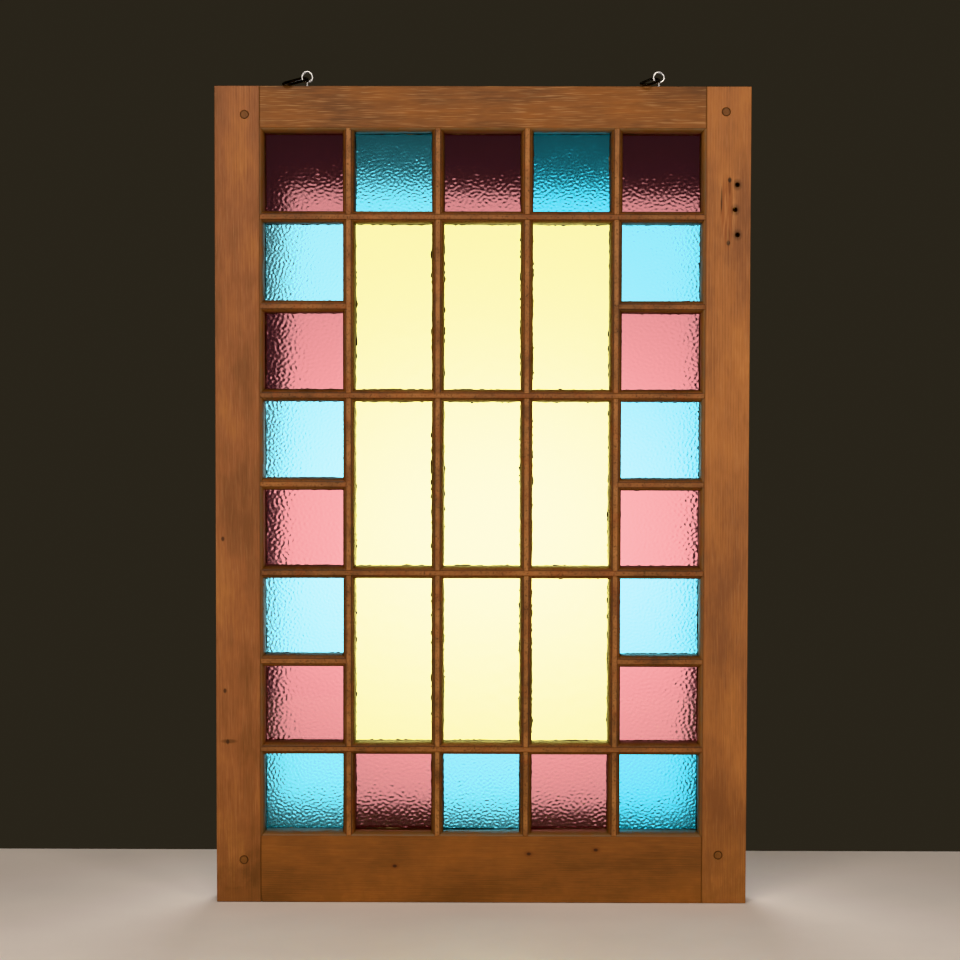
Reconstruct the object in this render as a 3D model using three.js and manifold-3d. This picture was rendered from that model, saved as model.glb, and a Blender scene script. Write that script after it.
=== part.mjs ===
// A Victorian style timber window sash, glazed with small panes of coloured rolled glass.
// Two stiles and two rails are joined by pegged through tenons, and moulded bars divide the daylight.
// Two screw eyes with loose links stand in the top edge. Millimetres, +Z up, the moulded room side faces -Y.
// The origin lies midway between the two screw eyes.
import * as THREE from "three";
import { mergeVertices } from "three/addons/utils/BufferGeometryUtils.js";
import Module from "manifold-3d";

const wasm = await Module();
wasm.setup();

// Sash timbers
const SASH_WIDTH = 610;
const SASH_HEIGHT = 935.6;
const SASH_THICKNESS = 40;
const STILE_FACE = 50.8;
const TOP_RAIL_FACE = 47;
const BOTTOM_RAIL_FACE = 76.8;

// Moulding on the frame and on both sides of each bar: a small quirk, then an ovolo down to the sight line
const MOULDING_WIDTH = 4.3;
const MOULDING_DEPTH = 13;
const QUIRK_STEP = 1;
const QUIRK_LEDGE = 0.5;
const OVOLO_FACETS = 5;

// Glazing: the glass seats behind the mouldings, and the frame is rebated from the back
const GLASS_SEAT_DEPTH = 24;
const FRAME_SEAT_WIDTH = 6.4;
const GLASS_THICKNESS = 3;
const GLASS_LAP = 3.4;

// Glazing bars
const NOSE_WIDTH = 5.6;
const WEB_WIDTH = 5;
const NOSE_SETBACK = 0.5;
const WEB_SETBACK = 1.5;
const COLUMNS = 5;
const ROWS = 8;
const SIDE_COLUMN_EXTRA = 2.4;
const END_ROW_EXTRA = 1.8;

// Joints
const JOINT_GAP = 0.3;
const TENON_THICKNESS = 12;
const TENON_FRONT = 11;
const TOP_HAUNCH = 11;
const BOTTOM_HAUNCH = 14;
const TENON_SHOULDER = 3;
const BAR_TENON_THICKNESS = 4;
const BAR_TENON_LENGTH = 12;
const BAR_TENON_FRONT = 14;
const BAR_TENON_DEPTH = 9;
const PEG_DIAMETER = 9.5;
const PEG_SIDES = 16;

// Where each peg sits, from the sash's outer edge and from its top or bottom edge
const PEGS = {
  peg_top_left: { side: -1, end: "top", fromEdge: 33.9, fromEnd: 32.2 },
  peg_top_right: { side: 1, end: "top", fromEdge: 28.5, fromEnd: 28.3 },
  peg_bottom_left: { side: -1, end: "bottom", fromEdge: 31.3, fromEnd: 48.8 },
  peg_bottom_right: { side: 1, end: "bottom", fromEdge: 32, fromEnd: 55.8 },
};

// Old screw holes in the face of the right stile, from its outer edge and from the top of the sash
const SCREW_HOLE_DIAMETER = 5;
const SCREW_HOLE_DEPTH = 16;
const SCREW_HOLES = [
  { fromEdge: 15.3, fromTop: 110.8 },
  { fromEdge: 17.7, fromTop: 139.1 },
  { fromEdge: 14.8, fromTop: 167.5 },
];

// The bottom rail's left shoulder has shrunk open at its lower end
const OPEN_SHOULDER_WIDTH = 1.8;
const OPEN_SHOULDER_HEIGHT = 11;
const OPEN_SHOULDER_DEPTH = 9;

// Screw eyes, placed from the sash's side edges, and the links hooked through them
const EYE_INSET = 103.8;
const EYE_RISE = 13;
const EYE_DIAMETER = 14.4;
const EYE_WIRE = 2.5;
const EYE_SHANK_DEPTH = 18;
const LINK_LENGTH = 38;
const LINK_WIDTH = 14;
const LINK_WIRE = 3;
const LINK_END_OFFSET = [-5, -1.5, -3.1];
const LINKS = {
  hanging_link_left: { side: -1, heading: 42, dip: 17, roll: 12 },
  hanging_link_right: { side: 1, heading: 30, dip: 17, roll: 12 },
};

// Colours of the glass by row, outer rows first and last; the three middle columns are tall yellow panes
const END_ROWS = { 0: ["rose", "turquoise"], 7: ["turquoise", "rose"] };
const SIDE_COLOURS = ["turquoise", "rose"];
const TALL_PANE_ROWS = 2;

// Places worked out from the sizes above
const half = SASH_WIDTH / 2;
const eyeReach = half - EYE_INSET;
const top = -EYE_RISE;
const bottom = top - SASH_HEIGHT;
const front = -SASH_THICKNESS / 2;
const stileArris = half - STILE_FACE;
const topArris = top - TOP_RAIL_FACE;
const bottomArris = bottom + BOTTOM_RAIL_FACE;
const barWidth = NOSE_WIDTH + 2 * MOULDING_WIDTH;
const sightLeft = -stileArris + MOULDING_WIDTH;
const sightTop = topArris - MOULDING_WIDTH;
const sightWidth = 2 * (stileArris - MOULDING_WIDTH);
const sightHeight = topArris - bottomArris - 2 * MOULDING_WIDTH;
const paneClearWidth = (sightWidth - (COLUMNS - 1) * barWidth - 2 * SIDE_COLUMN_EXTRA) / COLUMNS;
const paneClearHeight = (sightHeight - (ROWS - 1) * barWidth - 2 * END_ROW_EXTRA) / ROWS;

// Materials
function glass(color) {
  return new THREE.MeshStandardMaterial({ color, roughness: 0.15, transparent: true, opacity: 0.5 });
}

const materials = {
  frame: new THREE.MeshStandardMaterial({ color: "#965f37", roughness: 0.6 }),
  bar: new THREE.MeshStandardMaterial({ color: "#7d5230", roughness: 0.65 }),
  peg: new THREE.MeshStandardMaterial({ color: "#6e4525", roughness: 0.65 }),
  rose: glass("#c96f7d"),
  turquoise: glass("#3fb4cc"),
  yellow: glass("#fdeeb0"),
  zinc: new THREE.MeshStandardMaterial({ color: "#c6c8ca", roughness: 0.3, metalness: 1 }),
  black: new THREE.MeshStandardMaterial({ color: "#1f1f20", roughness: 0.45, metalness: 1 }),
};

// Bridges between three.js geometry and manifold-3d solids
function solidOf(geometry) {
  const loose = geometry.index ? geometry.toNonIndexed() : geometry;
  const bare = new THREE.BufferGeometry().setAttribute("position", loose.getAttribute("position"));
  const welded = mergeVertices(bare, 1e-4);
  const mesh = new wasm.Mesh({
    numProp: 3,
    vertProperties: new Float32Array(welded.attributes.position.array),
    triVerts: new Uint32Array(welded.index.array),
  });
  return new wasm.Manifold(mesh);
}

function meshOf(solid, name, material) {
  const result = solid.getMesh();
  const geometry = new THREE.BufferGeometry();
  geometry.setAttribute("position", new THREE.BufferAttribute(new Float32Array(result.vertProperties), 3));
  geometry.setIndex(new THREE.BufferAttribute(new Uint32Array(result.triVerts), 1));
  const flat = geometry.toNonIndexed();
  flat.computeVertexNormals();
  const mesh = new THREE.Mesh(flat, material.clone());
  mesh.name = name;
  return mesh;
}

// A box between two corners
function box(x0, x1, y0, y1, z0, z1) {
  const geometry = new THREE.BoxGeometry(x1 - x0, y1 - y0, z1 - z0);
  geometry.translate((x0 + x1) / 2, (y0 + y1) / 2, (z0 + z1) / 2);
  return solidOf(geometry);
}

// A round bar along Y from y0 to y1, for pegs, peg holes and screw holes
function roundAlongY(x, z, diameter, y0, y1, sides) {
  const geometry = new THREE.CylinderGeometry(diameter / 2, diameter / 2, y1 - y0, sides);
  geometry.translate(x, (y0 + y1) / 2, z);
  return solidOf(geometry);
}

// Outlines are [across, depth] points: across runs towards the glass, depth runs back from the front face.
// The moulding starts at an arris and ends on the glass seat.
function mouldingPoints(arris, startDepth) {
  const points = [[arris, startDepth], [arris, QUIRK_STEP + startDepth]];
  const reach = MOULDING_WIDTH - QUIRK_LEDGE;
  const fall = MOULDING_DEPTH - QUIRK_STEP - startDepth;
  for (let i = 0; i <= OVOLO_FACETS; i++) {
    const turn = (i / OVOLO_FACETS) * (Math.PI / 2);
    points.push([arris + QUIRK_LEDGE + reach * Math.sin(turn), MOULDING_DEPTH - fall * Math.cos(turn)]);
  }
  points.push([arris + MOULDING_WIDTH, GLASS_SEAT_DEPTH]);
  return points;
}

// Stile or rail, with its arris at across 0 and its body on the negative side
function frameOutline(face) {
  const rebateWall = MOULDING_WIDTH - FRAME_SEAT_WIDTH;
  return [
    [-face, 0],
    ...mouldingPoints(0, 0),
    [rebateWall, GLASS_SEAT_DEPTH],
    [rebateWall, SASH_THICKNESS],
    [-face, SASH_THICKNESS],
  ];
}

// Glazing bar centred on across 0: the moulded front part alone, or with the web between the panes
function barOutline(withWeb) {
  const side = mouldingPoints(NOSE_WIDTH / 2, NOSE_SETBACK);
  const web = [[WEB_WIDTH / 2, GLASS_SEAT_DEPTH], [WEB_WIDTH / 2, SASH_THICKNESS - WEB_SETBACK]];
  const right = withWeb ? [...side, ...web] : side;
  const left = right.map(([across, depth]) => [-across, depth]).reverse();
  return [...right, ...left];
}

// The outline moved outwards by a gap all round, with mitred corners
function grown(outline, gap) {
  const points = outline.map(([across, depth]) => new THREE.Vector2(across, depth));
  const turnsLeft = THREE.ShapeUtils.area(points) > 0;
  return points.map((point, i) => {
    const before = points[(i + points.length - 1) % points.length];
    const after = points[(i + 1) % points.length];
    const normals = [[before, point], [point, after]].map(([from, to]) => {
      const along = to.clone().sub(from).normalize();
      return turnsLeft ? new THREE.Vector2(along.y, -along.x) : new THREE.Vector2(-along.y, along.x);
    });
    const mitre = normals[0].clone().add(normals[1]);
    const moved = point.clone().addScaledVector(mitre, (2 * gap) / mitre.lengthSq());
    return [moved.x, moved.y];
  });
}

// Extrudes an outline upright from z0 to z1, its across 0 at x, running towards +X or, with toward -1, -X
function upright(outline, x, toward, z0, z1) {
  const shape = new THREE.Shape(outline.map(([a, d]) => new THREE.Vector2(x + toward * a, front + d)));
  const geometry = new THREE.ExtrudeGeometry(shape, { depth: z1 - z0, bevelEnabled: false });
  return solidOf(geometry.translate(0, 0, z0));
}

// The same along X from x0 to x1, its across 0 at height z, running towards +Z or -Z
function level(outline, z, toward, x0, x1) {
  const shape = new THREE.Shape(outline.map(([a, d]) => new THREE.Vector2(front + d, z + toward * a)));
  const geometry = new THREE.ExtrudeGeometry(shape, { depth: x1 - x0, bevelEnabled: false });
  const turn = new THREE.Matrix4().makeBasis(
    new THREE.Vector3(0, 1, 0),
    new THREE.Vector3(0, 0, 1),
    new THREE.Vector3(1, 0, 0),
  );
  return solidOf(geometry.applyMatrix4(turn).translate(x0, 0, 0));
}

// Centre lines of the glazing bars
const uprightBarX = [];
for (let i = 1; i < COLUMNS; i++) {
  uprightBarX.push(sightLeft + SIDE_COLUMN_EXTRA + i * paneClearWidth + (i - 0.5) * barWidth);
}
const levelBarZ = [];
for (let i = 1; i < ROWS; i++) {
  levelBarZ.push(sightTop - END_ROW_EXTRA - i * paneClearHeight - (i - 0.5) * barWidth);
}
const longBarZ = levelBarZ.filter((z, i) => i % TALL_PANE_ROWS === 0);
const shortBarZ = levelBarZ.filter((z, i) => i % TALL_PANE_ROWS !== 0);

// Frame outlines with the joint gap, used to scribe rails and bars over the mouldings they meet
function scribeLeftStile() {
  return upright(grown(frameOutline(STILE_FACE), JOINT_GAP), -stileArris, 1, bottom - 1, top + 1);
}

function scribeRightStile() {
  return upright(grown(frameOutline(STILE_FACE), JOINT_GAP), stileArris, -1, bottom - 1, top + 1);
}

function scribeTopRail() {
  return level(grown(frameOutline(TOP_RAIL_FACE), JOINT_GAP), topArris, -1, -half - 1, half + 1);
}

function scribeBottomRail() {
  return level(grown(frameOutline(BOTTOM_RAIL_FACE), JOINT_GAP), bottomArris, 1, -half - 1, half + 1);
}

// Through tenon of a rail: heights of its lower and upper edge
function railTenon(end) {
  return end === "top"
    ? { low: topArris + TENON_SHOULDER, high: top - TOP_HAUNCH }
    : { low: bottom + BOTTOM_HAUNCH, high: bottomArris - TENON_SHOULDER };
}

function railTenonBox(side, end, gap) {
  const { low, high } = railTenon(end);
  const y0 = front + TENON_FRONT - gap;
  const y1 = front + TENON_FRONT + TENON_THICKNESS + gap;
  const inner = stileArris - MOULDING_WIDTH - JOINT_GAP - 1;
  const outer = half + gap;
  return side < 0
    ? box(-outer, -inner, y0, y1, low - gap, high + gap)
    : box(inner, outer, y0, y1, low - gap, high + gap);
}

function pegPlace(peg) {
  const x = peg.side * (half - peg.fromEdge);
  const z = peg.end === "top" ? top - peg.fromEnd : bottom + peg.fromEnd;
  return { x, z };
}

function pegHoles(keep) {
  return Object.values(PEGS).filter(keep).map((peg) => {
    const { x, z } = pegPlace(peg);
    return roundAlongY(x, z, PEG_DIAMETER + 2 * JOINT_GAP, front - 1, -front + 1, PEG_SIDES);
  });
}

// Stub tenons of the glazing bars, and with a gap the mortises for them
function levelStub(z, side, gap) {
  const y0 = front + BAR_TENON_FRONT - gap;
  const y1 = front + BAR_TENON_FRONT + BAR_TENON_DEPTH + gap;
  const deep = stileArris + BAR_TENON_LENGTH + gap;
  const inner = stileArris - MOULDING_WIDTH - JOINT_GAP - 1;
  const reach = BAR_TENON_THICKNESS / 2 + gap;
  return side < 0
    ? box(-deep, -inner, y0, y1, z - reach, z + reach)
    : box(inner, deep, y0, y1, z - reach, z + reach);
}

function uprightStub(x, end, gap) {
  const y0 = front + BAR_TENON_FRONT - gap;
  const y1 = front + BAR_TENON_FRONT + BAR_TENON_DEPTH + gap;
  const reach = BAR_TENON_THICKNESS / 2 + gap;
  const past = MOULDING_WIDTH + JOINT_GAP + 1;
  return end === "top"
    ? box(x - reach, x + reach, y0, y1, topArris - past, topArris + BAR_TENON_LENGTH + gap)
    : box(x - reach, x + reach, y0, y1, bottomArris - BAR_TENON_LENGTH - gap, bottomArris + past);
}

function cutAll(solid, cutters) {
  return cutters.reduce((left, cutter) => left.subtract(cutter), solid);
}

// Stiles run the full height, with their mortises open to the outer edge
function makeStile(side) {
  const body = upright(frameOutline(STILE_FACE), side * stileArris, -side, bottom, top);
  const cutters = [
    railTenonBox(side, "top", JOINT_GAP),
    railTenonBox(side, "bottom", JOINT_GAP),
    ...pegHoles((peg) => peg.side === side),
    ...levelBarZ.map((z) => levelStub(z, side, JOINT_GAP)),
  ];
  if (side > 0) {
    for (const hole of SCREW_HOLES) {
      const x = half - hole.fromEdge;
      cutters.push(
        roundAlongY(x, top - hole.fromTop, SCREW_HOLE_DIAMETER, front - 1, front + SCREW_HOLE_DEPTH, 12),
      );
    }
  }
  return cutAll(body, cutters);
}

// Rails are scribed over the stiles' mouldings and pass through the stiles as tenons
function makeRail(end) {
  const face = end === "top" ? TOP_RAIL_FACE : BOTTOM_RAIL_FACE;
  const arris = end === "top" ? topArris : bottomArris;
  const toward = end === "top" ? -1 : 1;
  const run = level(frameOutline(face), arris, toward, -half, half);
  const shouldered = cutAll(run, [scribeLeftStile(), scribeRightStile()]);
  const tenoned = shouldered.add(railTenonBox(-1, end, 0)).add(railTenonBox(1, end, 0));
  return cutAll(tenoned, [
    ...pegHoles((peg) => peg.end === end),
    ...uprightBarX.map((x) => uprightStub(x, end, JOINT_GAP)),
  ]);
}

function openShoulder() {
  const x = -stileArris;
  const shape = new THREE.Shape([
    new THREE.Vector2(x - 1, bottom - 1),
    new THREE.Vector2(x + OPEN_SHOULDER_WIDTH, bottom - 1),
    new THREE.Vector2(x + OPEN_SHOULDER_WIDTH, bottom),
    new THREE.Vector2(x, bottom + OPEN_SHOULDER_HEIGHT),
    new THREE.Vector2(x - 1, bottom + OPEN_SHOULDER_HEIGHT),
  ]);
  const depth = OPEN_SHOULDER_DEPTH + 1;
  const geometry = new THREE.ExtrudeGeometry(shape, { depth, bevelEnabled: false });
  return solidOf(geometry.rotateX(Math.PI / 2).translate(0, front + OPEN_SHOULDER_DEPTH, 0));
}

function eyeShankHole(side) {
  const radius = EYE_WIRE / 2 + JOINT_GAP;
  const depth = EYE_SHANK_DEPTH + JOINT_GAP;
  const geometry = new THREE.CylinderGeometry(radius, radius, depth + 1, 10);
  geometry.rotateX(Math.PI / 2).translate(side * eyeReach, 0, top + (1 - depth) / 2);
  return solidOf(geometry);
}

// Long bars run from stile to stile in front; behind the glass seat they are notched for the uprights' webs
function makeLongBar(z) {
  const run = level(barOutline(true), z, 1, -stileArris, stileArris);
  const reach = WEB_WIDTH / 2 + JOINT_GAP;
  const notches = uprightBarX.map((x) =>
    box(x - reach, x + reach, front + GLASS_SEAT_DEPTH, -front + 1, z - barWidth, z + barWidth),
  );
  const scribed = cutAll(run, [scribeLeftStile(), scribeRightStile(), ...notches]);
  return scribed.add(levelStub(z, -1, 0)).add(levelStub(z, 1, 0));
}

// Uprights run from rail to rail behind; in front they are scribed over the long bars
function makeUprightBar(x) {
  const run = upright(barOutline(true), x, 1, bottomArris, topArris);
  const crossing = grown(barOutline(false), JOINT_GAP);
  const crossings = longBarZ.map((z) => level(crossing, z, 1, x - barWidth, x + barWidth));
  const scribed = cutAll(run, [scribeTopRail(), scribeBottomRail(), ...crossings]);
  return scribed.add(uprightStub(x, "top", 0)).add(uprightStub(x, "bottom", 0));
}

// Short bars fill the side columns, scribed over the stile on one side and the outer upright on the other
function makeShortBar(z, side) {
  const outerBar = side < 0 ? uprightBarX[0] : uprightBarX[uprightBarX.length - 1];
  const x0 = side < 0 ? -stileArris : outerBar;
  const x1 = side < 0 ? outerBar : stileArris;
  const run = level(barOutline(true), z, 1, x0, x1);
  const neighbour = upright(grown(barOutline(true), JOINT_GAP), outerBar, 1, z - barWidth, z + barWidth);
  const stile = side < 0 ? scribeLeftStile() : scribeRightStile();
  const scribed = cutAll(run, [neighbour, stile]);
  const past = box(outerBar - barWidth, outerBar + barWidth, front, -front, z - barWidth, z + barWidth);
  const beyond = scribed.decompose().filter((piece) => piece.subtract(past).volume() > 1)[0];
  return beyond.add(levelStub(z, side, 0));
}

// Panes sit on the seat behind the mouldings and lap it all round
function makePane(left, right, low, high) {
  const y0 = front + GLASS_SEAT_DEPTH + JOINT_GAP;
  const y1 = y0 + GLASS_THICKNESS;
  return box(left - GLASS_LAP, right + GLASS_LAP, y0, y1, low - GLASS_LAP, high + GLASS_LAP);
}

// Sight edges of the clear opening of one column or row of panes
function columnEdges(column) {
  const left = column === 0 ? sightLeft : uprightBarX[column - 1] + barWidth / 2;
  const right = column === COLUMNS - 1 ? -sightLeft : uprightBarX[column] - barWidth / 2;
  return { left, right };
}

function rowEdges(row) {
  const high = row === 0 ? sightTop : levelBarZ[row - 1] - barWidth / 2;
  const low = row === ROWS - 1 ? bottomArris + MOULDING_WIDTH : levelBarZ[row] + barWidth / 2;
  return { low, high };
}

// A screw eye: a closed wire ring that faces the room, on a shank driven into the top rail
function makeScrewEye(side) {
  const ringRadius = (EYE_DIAMETER - EYE_WIRE) / 2;
  const ring = solidOf(new THREE.TorusGeometry(ringRadius, EYE_WIRE / 2, 8, 24).rotateX(Math.PI / 2));
  const length = EYE_RISE - ringRadius + EYE_SHANK_DEPTH;
  const rod = new THREE.CylinderGeometry(EYE_WIRE / 2, EYE_WIRE / 2, length, 10);
  const shank = solidOf(rod.rotateX(Math.PI / 2).translate(0, 0, -ringRadius - length / 2));
  return ring.add(shank).translate([side * eyeReach, 0, 0]);
}

// Centre line of a long link: two straight sides and two half rounds, lying in the XY plane
class LinkCurve extends THREE.Curve {
  constructor(radius, straight) {
    super();
    this.radius = radius;
    this.straight = straight;
  }

  getPoint(t) {
    const arc = Math.PI * this.radius;
    const travelled = t * 2 * (arc + this.straight);
    const onFarHalf = travelled >= arc + this.straight;
    const along = onFarHalf ? travelled - arc - this.straight : travelled;
    const turn = Math.min(along, arc) / this.radius;
    const x = -this.straight / 2 - this.radius * Math.sin(turn) + Math.max(along - arc, 0);
    const y = this.radius * Math.cos(turn);
    return onFarHalf ? new THREE.Vector3(-x, -y, 0) : new THREE.Vector3(x, y, 0);
  }
}

// A link passes through its eye, slopes down over the top rail and lies on the front arris.
// heading turns it from the front towards the left, dip is its slope and roll drops its front side.
function makeLink(link) {
  const radius = (LINK_WIDTH - LINK_WIRE) / 2;
  const straight = LINK_LENGTH - LINK_WIDTH;
  const tube = new THREE.TubeGeometry(new LinkCurve(radius, straight), 36, LINK_WIRE / 2, 8, true);
  const heading = THREE.MathUtils.degToRad(link.heading);
  const dip = THREE.MathUtils.degToRad(link.dip);
  const roll = THREE.MathUtils.degToRad(link.roll);
  const outward = new THREE.Vector3(-Math.sin(heading), -Math.cos(heading), 0);
  const along = outward.clone().multiplyScalar(Math.cos(dip)).setZ(-Math.sin(dip));
  const sideways = new THREE.Vector3(outward.y, -outward.x, 0);
  const upward = new THREE.Vector3().crossVectors(sideways, along);
  const across = sideways.clone().multiplyScalar(Math.cos(roll)).addScaledVector(upward, Math.sin(roll));
  const normal = new THREE.Vector3().crossVectors(along, across);
  const eyeCentre = new THREE.Vector3(link.side * eyeReach, 0, 0);
  const nearCentre = eyeCentre.add(new THREE.Vector3(...LINK_END_OFFSET));
  const middle = nearCentre.addScaledVector(along, straight / 2);
  tube.applyMatrix4(new THREE.Matrix4().makeBasis(along, across, normal).setPosition(middle));
  return solidOf(tube);
}

// The sash, put together
const sash = new THREE.Group();

function place(solid, name, material) {
  sash.add(meshOf(solid, name, material));
}

place(makeStile(-1), "stile_left", materials.frame);
place(makeStile(1), "stile_right", materials.frame);
place(cutAll(makeRail("top"), [eyeShankHole(-1), eyeShankHole(1)]), "rail_top", materials.frame);
place(makeRail("bottom").subtract(openShoulder()), "rail_bottom", materials.frame);

for (const [name, peg] of Object.entries(PEGS)) {
  const { x, z } = pegPlace(peg);
  place(roundAlongY(x, z, PEG_DIAMETER, front, -front, PEG_SIDES), name, materials.peg);
}

longBarZ.forEach((z, i) => place(makeLongBar(z), `bar_long_${i + 1}`, materials.bar));
uprightBarX.forEach((x, i) => place(makeUprightBar(x), `bar_upright_${i + 1}`, materials.bar));
shortBarZ.forEach((z, i) => {
  place(makeShortBar(z, -1), `bar_short_left_${i + 1}`, materials.bar);
  place(makeShortBar(z, 1), `bar_short_right_${i + 1}`, materials.bar);
});

for (let row = 0; row < ROWS; row++) {
  for (let column = 0; column < COLUMNS; column++) {
    const endRow = END_ROWS[row];
    const inner = column > 0 && column < COLUMNS - 1;
    const tall = !endRow && inner;
    if (tall && (row - 1) % TALL_PANE_ROWS !== 0) continue;
    const colours = endRow ?? SIDE_COLOURS;
    const colour = tall ? "yellow" : colours[(endRow ? column : row - 1) % 2];
    const { left, right } = columnEdges(column);
    const { high } = rowEdges(row);
    const { low } = rowEdges(tall ? row + TALL_PANE_ROWS - 1 : row);
    place(makePane(left, right, low, high), `pane_${colour}_r${row + 1}_c${column + 1}`, materials[colour]);
  }
}

place(makeScrewEye(-1), "screw_eye_left", materials.zinc);
place(makeScrewEye(1), "screw_eye_right", materials.zinc);
for (const [name, link] of Object.entries(LINKS)) {
  place(makeLink(link), name, materials.black);
}

export default sash;
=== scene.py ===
import math
import bpy
import bmesh
import numpy as np
from mathutils import Matrix, Vector


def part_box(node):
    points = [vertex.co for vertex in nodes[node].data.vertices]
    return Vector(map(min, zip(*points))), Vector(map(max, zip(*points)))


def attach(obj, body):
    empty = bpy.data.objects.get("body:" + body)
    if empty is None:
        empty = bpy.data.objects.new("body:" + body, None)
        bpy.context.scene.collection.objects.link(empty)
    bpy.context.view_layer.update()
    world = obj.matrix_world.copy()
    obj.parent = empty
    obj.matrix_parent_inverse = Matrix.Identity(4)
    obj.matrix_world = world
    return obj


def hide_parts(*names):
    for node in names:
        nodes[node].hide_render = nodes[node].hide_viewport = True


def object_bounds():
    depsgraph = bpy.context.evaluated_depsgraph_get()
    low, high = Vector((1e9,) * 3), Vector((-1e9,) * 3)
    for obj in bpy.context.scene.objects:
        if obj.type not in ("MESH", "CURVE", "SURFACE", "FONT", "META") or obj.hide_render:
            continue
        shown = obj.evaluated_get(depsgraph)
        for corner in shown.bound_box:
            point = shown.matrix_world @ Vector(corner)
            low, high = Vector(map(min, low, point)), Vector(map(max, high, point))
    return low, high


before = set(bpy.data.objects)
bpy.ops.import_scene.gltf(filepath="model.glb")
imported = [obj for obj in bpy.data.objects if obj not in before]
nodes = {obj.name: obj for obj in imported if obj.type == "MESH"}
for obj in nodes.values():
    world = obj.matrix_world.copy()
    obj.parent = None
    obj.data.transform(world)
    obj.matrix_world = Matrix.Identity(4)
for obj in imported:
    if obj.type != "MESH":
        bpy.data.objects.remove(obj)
cad_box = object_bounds()
scene = bpy.context.scene


# Camera
# A long lens, square to the moulded room side of the sash from 2.4 m away and a little above its middle,
# which keeps the sides of the sash nearly parallel.
camera = bpy.data.objects.new("camera", bpy.data.cameras.new("camera"))
camera.data.sensor_width = 36
camera.data.lens = 79.5
camera.location = (0.0075, -2.444, -0.3557)
camera.rotation_euler = [math.radians(angle) for angle in (87.524, -0.126, 0.237)]
scene.collection.objects.link(camera)
scene.camera = camera


# Studio
# A plain pale floor, soft lights above, beside and behind the camera, a soft box behind the glass, a dim room.
# Seen through the sash, the soft box is a little smaller than the glazed area, so the outer panes show its
# edge, and it is brightest near its middle, as a box lit by one lamp is.
WARM_WHITE = "#fff3e6"
BOX_X, BOX_Y, BOX_Z = 0.0078, 0.454, -0.5115
BOX_TILT, BOX_SPREAD = math.radians(1.3), math.radians(110)
HOT_SPOT, HOT_SPOT_REACH = (0.0275, 0.454, -0.560), (0.30, 1.0, 0.215)
HOT_SPOT_GLOW, EDGE_GLOW = 10.5, 3.7
ONE_OVER_E = 0.3679
FLOOR_GAP, FLOOR_THICKNESS = 0.0005, 0.02


def linear(colour):
    """An sRGB hex colour as linear light, with an opaque alpha."""
    parts = [int(colour[i:i + 2], 16) / 255 for i in (1, 3, 5)]
    return tuple(c / 12.92 if c <= 0.04045 else ((c + 0.055) / 1.055) ** 2.4 for c in parts) + (1.0,)


def add_node(tree, kind, settings=None, inputs=None):
    """Adds one node. Each input is a value, or the output socket that it is linked from."""
    node = tree.nodes.new(kind)
    for key, value in (settings or {}).items():
        setattr(node, key, value)
    for key, value in (inputs or {}).items():
        if isinstance(value, bpy.types.NodeSocket):
            tree.links.new(value, node.inputs[key])
        else:
            node.inputs[key].default_value = value
    return node


def soft_light(name, place, aim, size, power, colour):
    """A soft rectangular light. Place, aim and size are in metres, and power in watts."""
    light = bpy.data.lights.new(name, "AREA")
    light.shape = "RECTANGLE"
    light.size, light.size_y = size
    light.energy = power
    light.color = linear(colour)[:3]
    lamp = bpy.data.objects.new(name, light)
    lamp.location = place
    lamp.rotation_euler = (Vector(aim) - Vector(place)).to_track_quat("-Z", "Y").to_euler()
    scene.collection.objects.link(lamp)
    return lamp


scene.view_settings.view_transform = "Khronos PBR Neutral"
scene.view_settings.look = "None"

room = bpy.data.worlds.new("dim_room")
room.use_nodes = True
room.node_tree.nodes["Background"].inputs["Color"].default_value = linear("#413e39")
scene.world = room

soft_light("top_light", (-0.3, -2.0, 1.3), (0, 0, -0.35), (1.7, 1.0), 40, WARM_WHITE)
soft_light("left_light", (-1.5, -2.1, -0.35), (0, 0, -0.5), (0.7, 1.5), 24, WARM_WHITE)
soft_light("right_light", (1.5, -2.1, -0.35), (0, 0, -0.5), (0.7, 1.5), 28, WARM_WHITE)
# A dim panel behind the camera is mirrored in the glass.
soft_light("mirrored_panel", (0, -3.2, -0.2), (0, 0, -0.45), (2.4, 2.4), 8.0, "#f6efff")
# Light spilt round the soft box, which keeps the outer panes from going black.
spill = soft_light("spill", (0, 0.7, -0.45), (0, 0, -0.45), (2.2, 2.2), 1.2, "#ffffff")
spill.visible_camera = False

soft_box = soft_light("soft_box", (BOX_X, BOX_Y, BOX_Z), (BOX_X, 0, BOX_Z), (0.5645, 0.839), 0.491, "#ffffff")
soft_box.rotation_euler.y = BOX_TILT
soft_box.visible_camera = False
soft_box.data.spread = BOX_SPREAD
# Its glow falls off from the hot spot to the edge as a bell curve does.
soft_box.data.use_nodes = True
glow = soft_box.data.node_tree
glow_place = add_node(glow, "ShaderNodeNewGeometry").outputs["Position"]
glow_local = add_node(glow, "ShaderNodeMapping", {"vector_type": "TEXTURE"}, {
    "Vector": glow_place, "Location": HOT_SPOT, "Scale": HOT_SPOT_REACH})
glow_away = add_node(glow, "ShaderNodeVectorMath", {"operation": "DOT_PRODUCT"}, {
    0: glow_local.outputs[0], 1: glow_local.outputs[0]})
glow_fall = add_node(glow, "ShaderNodeMath", {"operation": "POWER"}, {
    0: ONE_OVER_E, 1: glow_away.outputs["Value"]})
glow_level = add_node(glow, "ShaderNodeMath", {"operation": "MULTIPLY_ADD"}, {
    0: glow_fall.outputs[0], 1: HOT_SPOT_GLOW, 2: EDGE_GLOW})
glow.links.new(glow_level.outputs[0], glow.nodes["Emission"].inputs["Strength"])

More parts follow.
